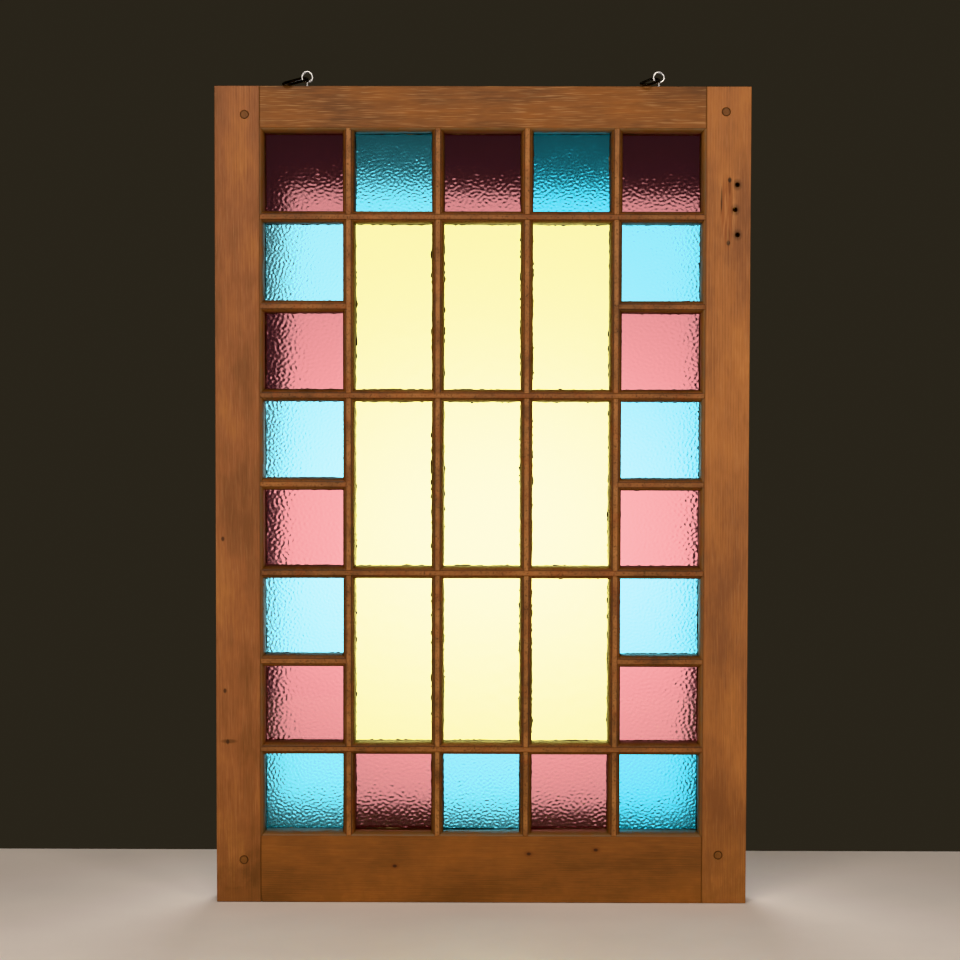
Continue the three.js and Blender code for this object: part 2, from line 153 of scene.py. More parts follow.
floor_top = cad_box[0].z - FLOOR_GAP
floor_place = Matrix.Translation((0, -0.67, floor_top - FLOOR_THICKNESS / 2))
floor_size = Matrix.Diagonal((3.0, 1.86, FLOOR_THICKNESS, 1))
floor_mesh = bpy.data.meshes.new("floor")
floor_edit = bmesh.new()
bmesh.ops.create_cube(floor_edit, size=1.0, matrix=floor_place @ floor_size)
floor_edit.to_mesh(floor_mesh)
floor = bpy.data.objects.new("floor", floor_mesh)
scene.collection.objects.link(floor)

# Honed stone flooring: pale, matt and even, with a faint cloudiness.
stone = bpy.data.materials.new("honed_stone")
stone.use_nodes = True
stone_tree = stone.node_tree
stone_place = add_node(stone_tree, "ShaderNodeTexCoord").outputs["Object"]
stone_cloud = add_node(stone_tree, "ShaderNodeTexNoise", inputs={
    "Vector": stone_place, "Scale": 5, "Detail": 4})
stone_colour = add_node(stone_tree, "ShaderNodeMix", {"data_type": "RGBA"}, {
    0: stone_cloud.outputs[0], 6: linear("#e0d8d2"), 7: linear("#f3ece6")})
stone_shader = stone_tree.nodes["Principled BSDF"]
stone_tree.links.new(stone_colour.outputs[2], stone_shader.inputs["Base Color"])
stone_shader.inputs["Roughness"].default_value = 0.75
floor_mesh.materials.append(stone)


# Stiles and rails
# Four lengths of old pine, moulded and rebated, with pegged through tenons at the corners. The oil has worn to
# a honey brown, and dirt has settled in the joints and round three old screw holes. Shade is painted into the
# quirks, into the corner between the moulding and the glass and into the screw holes, and the colour darkens
# towards the foot.

# Where the flat face ends and the moulding starts, as x on the stiles and z on the rails, and the face's y.
STILE_ARRIS, TOP_ARRIS, BOTTOM_ARRIS = 0.2542, -0.0600, -0.8718
FRONT = -0.020
FRAME_ARRIS_RADIUS = 0.0004

# The layers of the grain: scale along the grain, what is added to the seed, scale across, detail, roughness.
# Sway bends the rings. Fibres are 1.5 mm across, coarser than the real ones so that they show. Pores and broken
# fibres are 1.3 mm across and 16 mm long, and patches of oil 50 mm across. Pale flecks, 0.8 mm by 29 mm, are
# where the planed fibres have lifted and caught dust.
GRAIN_LAYERS = {
    "sway": (0.06, 0, 16, 3, 0.5),
    "fibres": (0.02, 3.1, 640, 3, 0.65),
    "pores": (0.08, 5.2, 760, 2, 0.6),
    "oil": (0.4, 7.7, 20, 4, 0.6),
    "flecks": (0.028, 11.3, 1250, 1, 0.5),
}


def stained(tree, under, mask, colour, strength):
    """The colour under it, with a stain let through by a mask."""
    held = add_node(tree, "ShaderNodeMath", {"operation": "MULTIPLY"}, {0: mask, 1: strength})
    return add_node(tree, "ShaderNodeMix", {"data_type": "RGBA"}, {
        0: held.outputs[0], 6: under, 7: linear(colour)}).outputs[2]


def pine(name, grain, pith, tilt, seed, tones, ring_mm, fleck_strength=0.12):
    """Oiled pine: annual rings round a pith line, fibres drawn out along the grain, and patches of old oil.
    The tones run from dark to pale, and the last is the flecks'. Stains go on the colour that it returns."""
    material = bpy.data.materials.new(name)
    material.use_nodes = True
    tree = material.node_tree
    place = add_node(tree, "ShaderNodeTexCoord").outputs["Object"]
    turned = add_node(tree, "ShaderNodeMapping", inputs={
        "Vector": place, "Location": pith, "Rotation": [math.radians(t) for t in tilt]})
    drawn_out, noise = {}, {}
    for layer, (along, seed_shift, scale, detail, roughness) in GRAIN_LAYERS.items():
        stretch = [along if letter == grain else 1 for letter in "XYZ"]
        drawn_out[layer] = add_node(tree, "ShaderNodeMapping", inputs={
            "Vector": turned.outputs[0], "Scale": stretch})
        noise[layer] = add_node(tree, "ShaderNodeTexNoise", {"noise_dimensions": "4D"}, {
            "Vector": drawn_out[layer].outputs[0], "W": seed + seed_shift, "Scale": scale, "Detail": detail,
            "Roughness": roughness})
    # The sway shifts the rings by up to 14 mm.
    bent = add_node(tree, "ShaderNodeVectorMath", {"operation": "MULTIPLY_ADD"}, {
        0: noise["sway"].outputs["Color"], 1: (0.014, 0.014, 0.014), 2: drawn_out["sway"].outputs[0]})
    # The wave texture repeats every 0.314 units, so this scale gives one ring each ring_mm.
    wave = add_node(
        tree, "ShaderNodeTexWave", {"wave_type": "RINGS", "rings_direction": grain, "wave_profile": "SAW"},
        {"Vector": bent.outputs[0], "Scale": 314 / ring_mm})
    ring = add_node(tree, "ShaderNodeValToRGB", inputs={"Fac": wave.outputs["Fac"]})
    ring.color_ramp.elements[0].color = (1, 1, 1, 1)
    ring.color_ramp.elements[1].color = (1, 1, 1, 1)
    ring.color_ramp.elements.new(0.6).color = (0.4, 0.4, 0.4, 1)
    ring.color_ramp.elements.new(0.85).color = (0, 0, 0, 1)
    # The rings show in some places and fade out in others.
    ring_weight = add_node(tree, "ShaderNodeMapRange", inputs={
        "Value": noise["sway"].outputs["Fac"], "From Min": 0.35, "From Max": 0.65,
        "To Min": 0.01, "To Max": 0.09})
    # How much the oil, the fibres, the pores and the rings each count in the wood's tone.
    tone = 0
    for layer_tone, weight in (
            (noise["oil"].outputs[0], 0.54), (noise["fibres"].outputs[0], 0.18),
            (noise["pores"].outputs[0], 0.13), (ring.outputs[0], ring_weight.outputs[0])):
        tone = add_node(tree, "ShaderNodeMath", {"operation": "MULTIPLY_ADD"}, {
            0: layer_tone, 1: weight, 2: tone}).outputs[0]
    colour = add_node(tree, "ShaderNodeValToRGB", inputs={"Fac": tone})
    stops = colour.color_ramp.elements
    stops[0].position, stops[1].position = 0.36, 0.66
    stops[0].color, stops[1].color = linear(tones[0]), linear(tones[3])
    stops.new(0.46).color = linear(tones[1])
    stops.new(0.56).color = linear(tones[2])
    fleck_mask = add_node(tree, "ShaderNodeMapRange", inputs={
        "Value": noise["flecks"].outputs[0], "From Min": 0.56, "From Max": 0.68})
    flecked = stained(tree, colour.outputs[0], fleck_mask.outputs[0], tones[4], fleck_strength)
    relief = add_node(tree, "ShaderNodeBump", inputs={"Strength": 0.35, "Distance": 0.0004, "Height": tone})
    gloss = add_node(tree, "ShaderNodeMapRange", inputs={
        "Value": noise["oil"].outputs[0], "From Min": 0.35, "From Max": 0.65, "To Min": 0.5, "To Max": 0.66})
    shader = tree.nodes["Principled BSDF"]
    shader.inputs["IOR"].default_value = 1.5
    tree.links.new(gloss.outputs[0], shader.inputs["Roughness"])
    tree.links.new(relief.outputs[0], shader.inputs["Normal"])
    tree.links.new(flecked, shader.inputs["Base Color"])
    return material, place, flecked


def oval_mark(tree, place, x, z, half_wide, half_high):
    """1 inside an oval on the room side face, fading to 0 at its edge and 20 mm deep. Sizes in metres."""
    local = add_node(tree, "ShaderNodeMapping", {"vector_type": "TEXTURE"}, {
        "Vector": place, "Location": (x, FRONT, z), "Scale": (half_wide, 0.02, half_high)})
    away = add_node(tree, "ShaderNodeVectorMath", {"operation": "LENGTH"}, {0: local.outputs[0]})
    return add_node(tree, "ShaderNodeMapRange", inputs={
        "Value": away.outputs["Value"], "From Min": 1.0, "From Max": 0.55}).outputs[0]


def mesh_steps(name):
    """A new geometry node group with one mesh in and one out, and the mesh that comes in."""
    steps = bpy.data.node_groups.new(name, "GeometryNodeTree")
    for way in ("INPUT", "OUTPUT"):
        steps.interface.new_socket("Geometry", in_out=way, socket_type="NodeSocketGeometry")
    return steps, add_node(steps, "NodeGroupInput").outputs[0]


weld, facets = mesh_steps("weld")
merged = add_node(weld, "GeometryNodeMergeByDistance", inputs={"Geometry": facets, "Distance": 1e-5})
bare = add_node(weld, "GeometryNodeRemoveAttribute", inputs={
    "Geometry": merged.outputs[0], "Name": "custom_normal"})
add_node(weld, "NodeGroupOutput", inputs={0: bare.outputs[0]})

smooth, bevelled = mesh_steps("smooth")
edge_angle = add_node(smooth, "GeometryNodeInputMeshEdgeAngle")
sharp = add_node(smooth, "FunctionNodeCompare", {"data_type": "FLOAT", "operation": "GREATER_THAN"}, {
    "A": edge_angle.outputs[0], "B": math.radians(40)})
all_smooth = add_node(smooth, "GeometryNodeSetShadeSmooth", {"domain": "FACE"}, {"Geometry": bevelled})
creased = add_node(smooth, "GeometryNodeSetShadeSmooth", {"domain": "EDGE"}, {
    "Geometry": all_smooth.outputs[0], "Selection": sharp.outputs[0], "Shade Smooth": False})
add_node(smooth, "NodeGroupOutput", inputs={0: creased.outputs[0]})


def ease_arrises(piece, radius):
    """Welds the node's facets, rounds its arrises as wear does, and shades it as smooth wood."""
    piece.modifiers.new("weld", "NODES").node_group = weld
    flat = piece.modifiers.new("flat", "DECIMATE")
    flat.decimate_type = "DISSOLVE"
    flat.angle_limit = math.radians(1)
    worn = piece.modifiers.new("worn", "BEVEL")
    worn.width = radius
    worn.segments = 2
    worn.limit_method = "ANGLE"
    worn.angle_limit = math.radians(50)
    worn.use_clamp_overlap = False
    piece.modifiers.new("smooth", "NODES").node_group = smooth
    weighted = piece.modifiers.new("weighted", "WEIGHTED_NORMAL")
    weighted.keep_sharp = True


# Each timber's grain direction, pith line, tilt in degrees, seed, tones, and how strongly its flecks show.
FRAME_TIMBERS = {
    "stile_left": (
        "Z", (0.03, -0.11, 0), (0.5, 0.4, 0), 1.0,
        ("#694023", "#815031", "#956239", "#a57246", "#b98a60"), 0.12),
    "stile_right": (
        "Z", (-0.05, -0.14, 0), (-0.5, 0.5, 0), 5.0,
        ("#71462a", "#895732", "#9c663b", "#ac7849", "#c09063"), 0.12),
    "rail_top": (
        "X", (0, -0.16, 0.06), (0, 0.2, 0.3), 9.0,
        ("#57351a", "#6e4423", "#7f4f29", "#915f35", "#c29565"), 0.3),
    "rail_bottom": (
        "X", (0, -0.12, -0.03), (0, -0.4, -0.5), 13.0,
        ("#60391b", "#774824", "#875229", "#965f32", "#a87748"), 0.12),
}

# Marks on the face of a timber: x, z, half its width and half its height in metres, colour, strength.
MARKS = {
    "stile_right": (
        # Three old screw holes, each in a dark stain halo, with shade painted near black into the hole and a
        # thin ring round it.
        (0.2897, -0.1238, 0.0062, 0.0078, "#3a2110", 0.6), (0.2897, -0.1238, 0.0036, 0.0036, "#0b0705", 1.0),
        (0.2873, -0.1521, 0.0062, 0.0078, "#3a2110", 0.6), (0.2873, -0.1521, 0.0036, 0.0036, "#0b0705", 1.0),
        (0.2902, -0.1805, 0.0062, 0.0078, "#3a2110", 0.6), (0.2902, -0.1805, 0.0036, 0.0036, "#0b0705", 1.0),
        # The red brown ground beside them, and a shake 34 mm long that has opened in it.
        (0.2775, -0.1541, 0.0085, 0.046, "#7a3f1e", 0.45),
        (0.2718, -0.1411, 0.0011, 0.018, "#2a160a", 0.9),
        # Short brown splits that run from two pin holes along the grain. Each pin hole is a spot of painted
        # shade.
        (0.2809, -0.1255, 0.0022, 0.013, "#562a12", 0.65), (0.2809, -0.1185, 0.0026, 0.0036, "#1c0f08", 0.95),
        (0.2798, -0.1825, 0.0022, 0.013, "#562a12", 0.65), (0.2798, -0.1898, 0.0026, 0.0036, "#1c0f08", 0.95),
    ),
    "stile_left": (
        # A sap streak that runs out of the lowest of three pin knots, and the knots.
        (-0.2905, -0.7622, 0.011, 0.0030, "#4a2c14", 0.7),
        (-0.297, -0.5288, 0.0024, 0.0034, "#2c170a", 0.85),
        (-0.295, -0.7038, 0.0024, 0.0034, "#2c170a", 0.85),
        (-0.292, -0.7628, 0.0024, 0.0034, "#2c170a", 0.85),
    ),
    "rail_bottom": (
        # Three small knots, each in a brown ring.
        (-0.0996, -0.9065, 0.0068, 0.0044, "#5a2c10", 0.5), (-0.0996, -0.9065, 0.0032, 0.0022, "#25120a", 0.9),
        (0.1321, -0.8872, 0.0068, 0.0044, "#5a2c10", 0.5), (0.1321, -0.8872, 0.0032, 0.0022, "#25120a", 0.9),
        (0.0549, -0.8920, 0.0068, 0.0044, "#5a2c10", 0.5), (0.0549, -0.8920, 0.0032, 0.0022, "#25120a", 0.9),
    ),
}

for name, (grain, pith, tilt, seed, tones, fleck_strength) in FRAME_TIMBERS.items():
    material, place, colour = pine(name + "_oiled_pine", grain, pith, tilt, seed, tones, 2.6, fleck_strength)
    tree = material.node_tree
    apart = add_node(tree, "ShaderNodeSeparateXYZ", inputs={0: place})
    across = add_node(tree, "ShaderNodeMath", {"operation": "ABSOLUTE"}, {0: apart.outputs["X"]}).outputs[0]
    # Grey olive dust lies on the moulding, which starts at the arris and runs 4.3 mm inward, to the glass.
    level, arris, inward = {
        "rail_top": (apart.outputs["Z"], TOP_ARRIS, -1),
        "rail_bottom": (apart.outputs["Z"], BOTTOM_ARRIS, 1),
    }.get(name, (across, STILE_ARRIS, -1))
    moulded = add_node(tree, "ShaderNodeMapRange", inputs={
        "Value": level, "From Min": arris - 0.0003 * inward, "From Max": arris + 0.0004 * inward}).outputs[0]
    patchy = add_node(tree, "ShaderNodeTexNoise", {"noise_dimensions": "4D"}, {
        "Vector": place, "W": seed, "Scale": 45, "Detail": 4, "Roughness": 0.65})
    patches = add_node(tree, "ShaderNodeMapRange", inputs={
        "Value": patchy.outputs[0], "From Min": 0.38, "From Max": 0.6, "To Min": 0.4, "To Max": 0.95})
    dusty = add_node(tree, "ShaderNodeMath", {"operation": "MULTIPLY"}, {0: moulded, 1: patches.outputs[0]})
    colour = stained(tree, colour, dusty.outputs[0], "#6e5d4b", 0.8)
    # Dirt in the shoulder joints, and shade painted dark into the quirk beside them.
    off_joint = add_node(tree, "ShaderNodeMath", {"operation": "SUBTRACT"}, {0: across, 1: STILE_ARRIS})
    from_joint = add_node(tree, "ShaderNodeMath", {"operation": "ABSOLUTE"}, {0: off_joint.outputs[0]})
    joint_dirt_and_quirk_shade = add_node(tree, "ShaderNodeMapRange", inputs={
        "Value": from_joint.outputs[0], "From Min": 0.0017, "From Max": 0.0003})
    colour = stained(tree, colour, joint_dirt_and_quirk_shade.outputs[0], "#3c2211", 0.45)
    # Shade painted dark into the corner between the moulding and the glass, darkest against the glass.
    near_glass = add_node(tree, "ShaderNodeMapRange", inputs={
        "Value": apart.outputs["Y"], "From Min": -0.010, "From Max": 0.001})
    glass_corner_shade = add_node(tree, "ShaderNodeMath", {"operation": "MULTIPLY"}, {0: moulded, 1: near_glass.outputs[0]})
    colour = stained(tree, colour, glass_corner_shade.outputs[0], "#241a12", 0.8)
    # Darker towards the foot, in patches.
    foot = add_node(tree, "ShaderNodeMapRange", inputs={
        "Value": apart.outputs["Z"], "From Min": -0.80, "From Max": -0.95})
    darker_at_foot = add_node(tree, "ShaderNodeMath", {"operation": "MULTIPLY"}, {
        0: foot.outputs[0], 1: patches.outputs[0]})
    colour = stained(tree, colour, darker_at_foot.outputs[0], "#4a2f10", 0.45)
    for x, z, half_wide, half_high, mark_colour, strength in MARKS.get(name, ()):
        mark = oval_mark(tree, place, x, z, half_wide, half_high)
        colour = stained(tree, colour, mark, mark_colour, strength)
    if name == "stile_right":
        # Pale slanting scuffs round the screw holes.
        scratched = add_node(tree, "ShaderNodeMapping", inputs={
            "Vector": place, "Rotation": (0, math.radians(38), 0), "Scale": (1, 1, 0.05)})
        scratch = add_node(tree, "ShaderNodeTexNoise", inputs={
            "Vector": scratched.outputs[0], "Scale": 420, "Detail": 2})
        scratches = add_node(tree, "ShaderNodeMapRange", inputs={
            "Value": scratch.outputs[0], "From Min": 0.56, "From Max": 0.66})
        scuffed = add_node(tree, "ShaderNodeMath", {"operation": "MULTIPLY"}, {
            0: scratches.outputs[0], 1: oval_mark(tree, place, 0.280, -0.154, 0.017, 0.052)})
        colour = stained(tree, colour, scuffed.outputs[0], "#c8925c", 0.25)
    if name == "stile_left":
        # Dark smudges where the foot has stood on wet ground.
        for x, z, half_wide, half_high in ((-0.284, -0.922, 0.030, 0.020), (-0.262, -0.905, 0.016, 0.030)):
            smudge = add_node(tree, "ShaderNodeMath", {"operation": "MULTIPLY"}, {
                0: oval_mark(tree, place, x, z, half_wide, half_high), 1: patches.outputs[0]})
            colour = stained(tree, colour, smudge.outputs[0], "#4a2c12", 0.5)
    tree.links.new(colour, tree.nodes["Principled BSDF"].inputs["Base Color"])
    nodes[name].material_slots[0].material = material
    ease_arrises(nodes[name], FRAME_ARRIS_RADIUS)


# Draw pegs
# Four riven pine pegs 9.5 mm across, driven right through the stiles and tenons and planed off flush.
# The face shows end grain, and old oil and dirt have drawn a dark ring round each one.
PEG_RADIUS = 0.00475
SMALL_ARRIS_RADIUS = 0.0003

for name in ("peg_top_left", "peg_top_right", "peg_bottom_left", "peg_bottom_right"):
    low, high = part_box(name)
    centre = (low + high) / 2
    material, place, colour = pine(
        name + "_end_grain", "Y", (0.004 - centre.x, 0, -centre.z), (0, 0, 0), 20 + 3 * centre.x,
        ("#4a2b16", "#66401f", "#7d4f2a", "#906238", "#9d7046"), 1.6)
    tree = material.node_tree
    local = add_node(tree, "ShaderNodeMapping", {"vector_type": "TEXTURE"}, {
        "Vector": place, "Location": (centre.x, 0, centre.z), "Scale": (PEG_RADIUS, 10, PEG_RADIUS)})
    away = add_node(tree, "ShaderNodeVectorMath", {"operation": "LENGTH"}, {0: local.outputs[0]})
    rim = add_node(tree, "ShaderNodeMapRange", inputs={
        "Value": away.outputs["Value"], "From Min": 0.68, "From Max": 0.95})
    colour = stained(tree, colour, rim.outputs[0], "#24120a", 0.85)
    tree.links.new(colour, tree.nodes["Principled BSDF"].inputs["Base Color"])
    nodes[name].material_slots[0].material = material
    ease_arrises(nodes[name], SMALL_ARRIS_RADIUS)


# Glazing bars
# Slim pine bars with an ovolo on both sides of a flat nose: four long bars from stile to stile, four uprights
# scribed to them where they cross behind, and six short bars in the side columns. A highlight is painted pale
# along the noses, the hollows hold dust, and shade is painted into the quirks and along the glass line.

# Distances from a bar's middle, in metres: where a finish starts to show and where it is full, and the quirk's
# place and half its width.
NOSE_HIGHLIGHT, HOLLOW_DUST, GLASS_LINE = (0.0030, 0.0018), (0.0029, 0.0045), (0.0062, 0.0071)
QUIRK, QUIRK_HALF_WIDE = 0.0032, 0.0005

for index, name in enumerate(sorted(n for n in nodes if n.startswith("bar_"))):
    low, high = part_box(name)
    centre = (low + high) / 2
    is_upright = name.startswith("bar_upright")
    grain = "Z" if is_upright else "X"
    pith = (0.02 - centre.x, -0.07, 0) if is_upright else (0, -0.07, 0.015 - centre.z)
    material, place, colour = pine(
        name + "_oiled_pine", grain, pith, (0, 0, 0), 30 + 2.3 * index,
        ("#462716", "#673e24", "#80512f", "#98673f", "#b98c64"), 2.2)
    tree = material.node_tree
    apart = add_node(tree, "ShaderNodeSeparateXYZ", inputs={0: place})
    off_middle = add_node(tree, "ShaderNodeMath", {"operation": "SUBTRACT"}, {
        0: apart.outputs["X" if is_upright else "Z"], 1: centre.x if is_upright else centre.z})
    from_middle = add_node(tree, "ShaderNodeMath", {"operation": "ABSOLUTE"}, {
        0: off_middle.outputs[0]}).outputs[0]
    patchy = add_node(tree, "ShaderNodeTexNoise", {"noise_dimensions": "4D"}, {
        "Vector": place, "W": 2.0 * index, "Scale": 38, "Detail": 4, "Roughness": 0.65})
    patches = add_node(tree, "ShaderNodeMapRange", inputs={
        "Value": patchy.outputs[0], "From Min": 0.36, "From Max": 0.62, "To Min": 0.2, "To Max": 1.0})
    # Red brown patches of the first stain, about 15 mm long.
    red = add_node(tree, "ShaderNodeTexNoise", {"noise_dimensions": "4D"}, {
        "Vector": place, "W": 40 + index, "Scale": 65, "Detail": 3, "Roughness": 0.6})
    reds = add_node(tree, "ShaderNodeMapRange", inputs={
        "Value": red.outputs[0], "From Min": 0.48, "From Max": 0.62})
    colour = stained(tree, colour, reds.outputs[0], "#7c3d1d", 0.45)
    # A highlight is painted pale along the nose, most on the uprights, dust lies in the hollows, and shade is
    # painted dark into the quirk.
    nose = add_node(tree, "ShaderNodeMapRange", inputs={
        "Value": from_middle, "From Min": NOSE_HIGHLIGHT[0], "From Max": NOSE_HIGHLIGHT[1]})
    nose_highlight = add_node(tree, "ShaderNodeMath", {"operation": "MULTIPLY"}, {
        0: nose.outputs[0], 1: patches.outputs[0]})
    colour = stained(tree, colour, nose_highlight.outputs[0], "#ab7848", 0.6 if is_upright else 0.3)
    hollow = add_node(tree, "ShaderNodeMapRange", inputs={
        "Value": from_middle, "From Min": HOLLOW_DUST[0], "From Max": HOLLOW_DUST[1]})
    dusty = add_node(tree, "ShaderNodeMath", {"operation": "MULTIPLY"}, {
        0: hollow.outputs[0], 1: patches.outputs[0]})
    colour = stained(tree, colour, dusty.outputs[0], "#6b5540", 0.45)
    # Shade painted dark into the quirk.
    quirk_shade = add_node(tree, "ShaderNodeMath", {"operation": "COMPARE"}, {
        0: from_middle, 1: QUIRK, 2: QUIRK_HALF_WIDE})
    colour = stained(tree, colour, quirk_shade.outputs[0], "#22130a", 0.55)
    # Specks of soot and worm dust 2 mm across.
    speck = add_node(tree, "ShaderNodeTexNoise", {"noise_dimensions": "4D"}, {
        "Vector": place, "W": 3.0 * index, "Scale": 480, "Detail": 3, "Roughness": 0.7})
    specks = add_node(tree, "ShaderNodeMapRange", inputs={
        "Value": speck.outputs[0], "From Min": 0.53, "From Max": 0.64})
    colour = stained(tree, colour, specks.outputs[0], "#2a170c", 0.7)
    # Painted shade along the glass line, in the corner between the bar and the glass.
    glass_line_shade = add_node(tree, "ShaderNodeMapRange", inputs={
        "Value": from_middle, "From Min": GLASS_LINE[0], "From Max": GLASS_LINE[1]})
    colour = stained(tree, colour, glass_line_shade.outputs[0], "#1f150d", 0.75)
    tree.links.new(colour, tree.nodes["Principled BSDF"].inputs["Base Color"])
    nodes[name].material_slots[0].material = material
    ease_arrises(nodes[name], SMALL_ARRIS_RADIUS)


# Glass
# Thirty-one panes of rolled cathedral glass, 3 mm thick: flat towards the room, and rippled behind by the
# roller. Rose and turquoise have a strong hammered ripple, and the tall pale yellow panes only a faint swell.

# The rippled side's grid step in metres, for small and tall panes, and the number of cells along a sheet.
STEP_SMALL, STEP_TALL = 0.001, 0.002
SHEET_CELLS = 400
# How far the waves stray from the main wavelength, and the most that a ripple rises or falls.
RIPPLE_SPREAD, RIPPLE_LIMIT = 0.38, 0.0005
FIRST_PANE_SEED = 100


def rolled_sheet(seed, wave_x, wave_z, slope, step):
    """Heights of a large rippled sheet, from seeded noise kept near one wavelength. Sizes in metres."""
    noise = np.fft.fft2(np.random.default_rng(seed).standard_normal((SHEET_CELLS, SHEET_CELLS)))
    cycles = np.fft.fftfreq(SHEET_CELLS, step)
    waves = np.hypot(cycles[None, :] * wave_x, cycles[:, None] * wave_z)
    heights = np.fft.ifft2(noise * np.exp(-(((waves - 1) / RIPPLE_SPREAD) ** 2))).real
    down, along = np.gradient(heights, step)
    return heights * slope / math.sqrt(np.mean(down ** 2 + along ** 2))


def cathedral_glass(name, tint, roughness, ripple_mm, ripple_strength):
    """Soda-lime glass coloured through its whole thickness. The eye sees a clear tint, glossy where it was
    rolled smooth and slightly frosted where the roller left its texture."""
    material = bpy.data.materials.new(name)
    material.use_nodes = True
    tree = material.node_tree
    shader = tree.nodes["Principled BSDF"]
    shader.inputs["Base Color"].default_value = linear(tint)
    shader.inputs["Transmission Weight"].default_value = 1.0
    shader.inputs["IOR"].default_value = 1.52
    shader.inputs["Roughness"].default_value = roughness
    place = add_node(tree, "ShaderNodeTexCoord").outputs["Object"]
    skin = add_node(tree, "ShaderNodeTexNoise", inputs={
        "Vector": place, "Scale": 1000 / ripple_mm, "Detail": 1})
    bump = add_node(tree, "ShaderNodeBump", inputs={
        "Strength": ripple_strength, "Distance": 0.0004, "Height": skin.outputs[0]})
    tree.links.new(bump.outputs[0], shader.inputs["Normal"])
    return material


def rolled_pane(node, piece_name, sheet, step, seed, smooth_glass, rippled_glass):
    """A closed slab in the node's place: four corners in front, and a fine rippled grid behind."""
    low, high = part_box(node)
    columns, rows = round((high.x - low.x) / step), round((high.z - low.z) / step)
    row, column = np.random.default_rng(seed).integers(0, len(sheet) - max(columns, rows) - 1, 2)
    cut = sheet[row:row + rows + 1, column:column + columns + 1]
    relief = np.clip(cut, -RIPPLE_LIMIT, RIPPLE_LIMIT)
    x, z = np.meshgrid(np.linspace(low.x, high.x, columns + 1), np.linspace(low.z, high.z, rows + 1))
    back = np.stack([x, high.y - RIPPLE_LIMIT + relief, z], axis=-1).reshape(-1, 3)
    corners = [
        (low.x, low.y, low.z), (high.x, low.y, low.z), (high.x, low.y, high.z), (low.x, low.y, high.z)]
    index = np.arange((rows + 1) * (columns + 1)).reshape(rows + 1, columns + 1)
    quads = np.stack([index[:-1, :-1], index[1:, :-1], index[1:, 1:], index[:-1, 1:]], axis=-1).reshape(-1, 4)
    # The front face, and the four edges from it to the grid.
    a, b, c, d = range(len(back), len(back) + 4)
    flat_faces = [
        [a, b, c, d],
        [b, a, *index[0, :].tolist()],
        [d, c, *index[-1, ::-1].tolist()],
        [a, d, *index[::-1, 0].tolist()],
        [c, b, *index[:, -1].tolist()],
    ]
    mesh = bpy.data.meshes.new(piece_name)
    mesh.from_pydata(back.tolist() + corners, [], quads.tolist() + flat_faces)
    mesh.polygons.foreach_set("use_smooth", [True] * len(quads) + [False] * len(flat_faces))
    mesh.materials.append(rippled_glass)
    mesh.materials.append(smooth_glass)
    mesh.polygons.foreach_set("material_index", [0] * len(quads) + [1] * len(flat_faces))
    piece = bpy.data.objects.new(piece_name, mesh)
    scene.collection.objects.link(piece)
    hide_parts(node)
    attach(piece, "root")
    return piece


# Each batch has its colour, tint, frosting, skin in mm, skin strength and panes, where None is every pane of
# that colour. The turquoise panes came from batches of unlike depth, and the deeper tints of the top and bottom
# rows, away from the soft box's hot spot, also hold painted shade.
GLASS_BATCHES = {
    "rose": ("rose", "#7e5152", 0.18, 2.2, 0.16, None),
    "turquoise_pale": ("turquoise", "#80c9d6", 0.27, 2.0, 0.55, ["r2_c1", "r4_c1", "r6_c1"]),
    "turquoise_clear": ("turquoise", "#6ac5d6", 0.27, 2.0, 0.55, ["r2_c5", "r4_c5", "r6_c5"]),
    "turquoise_full_shaded": ("turquoise", "#60b7c7", 0.27, 2.0, 0.55, ["r1_c2", "r8_c1", "r8_c3"]),
    "turquoise_deep_shaded": ("turquoise", "#45b2c8", 0.27, 2.0, 0.55, ["r1_c4", "r8_c5"]),
    "yellow": ("yellow", "#fff592", 0.35, 4.0, 0.03, None),
}
# Each colour has its slot, its grid step and a large rippled sheet that its panes are cut from.
SHEETS = {
    "rose": ("rose_rolled_glass", STEP_SMALL, rolled_sheet(3, 0.0058, 0.0046, 0.070, STEP_SMALL)),
    "turquoise": ("turquoise_rolled_glass", STEP_SMALL, rolled_sheet(4, 0.0046, 0.0041, 0.11, STEP_SMALL)),
    "yellow": ("pale_yellow_rolled_glass", STEP_TALL, rolled_sheet(5, 0.016, 0.020, 0.02, STEP_TALL)),
}

for batch, (colour, tint, frosting, skin_mm, skin_strength, places) in GLASS_BATCHES.items():
    slot, step, sheet = SHEETS[colour]
    smooth_glass = cathedral_glass(batch + "_glass_smooth_side", tint, 0.04, 12, 0.02)
    rippled_glass = cathedral_glass(batch + "_glass_rippled_side", tint, frosting, skin_mm, skin_strength)
    for index, node in enumerate(sorted(n for n in nodes if n.startswith("pane_" + colour))):
        if places is None or node[-5:] in places:
            piece_name = node.replace("pane_", "glass_")
            seed = FIRST_PANE_SEED + index
            pane = rolled_pane(node, piece_name, sheet, step, seed, smooth_glass, rippled_glass)


# Putty
# Linseed putty: a thin bed squeezed out in front of each pane, and a sloping fillet run behind it with a knife.
# It has dried hard and grey brown, with ragged edges.

# How far a pane reaches behind its mouldings, and how far outside them the walls behind it stand.
SIGHT_LAP = 0.0034
BED_WALL, BAR_WALL, FRAME_WALL = 0.0003, 0.0046, 0.0064
# How far the putty stands off the glass, and how deep it is at the wall.
GLASS_GAP, BED_DEPTH, FILLET_DEPTH = 0.00005, 0.0022, 0.0105
STATION_SPACING = 0.0016
FIRST_PUTTY_SEED = 500


def ragged(rng, count, spacing):
    """Smooth wandering values between 0 and 1, and back to the start at the end."""
    knots = rng.random(max(4, round(count / spacing)))
    places = np.arange(count) * len(knots) / count
    left = np.floor(places).astype(int)
    blend = places - left
    blend = blend * blend * (3 - 2 * blend)
    return knots[left % len(knots)] * (1 - blend) + knots[(left + 1) % len(knots)] * blend


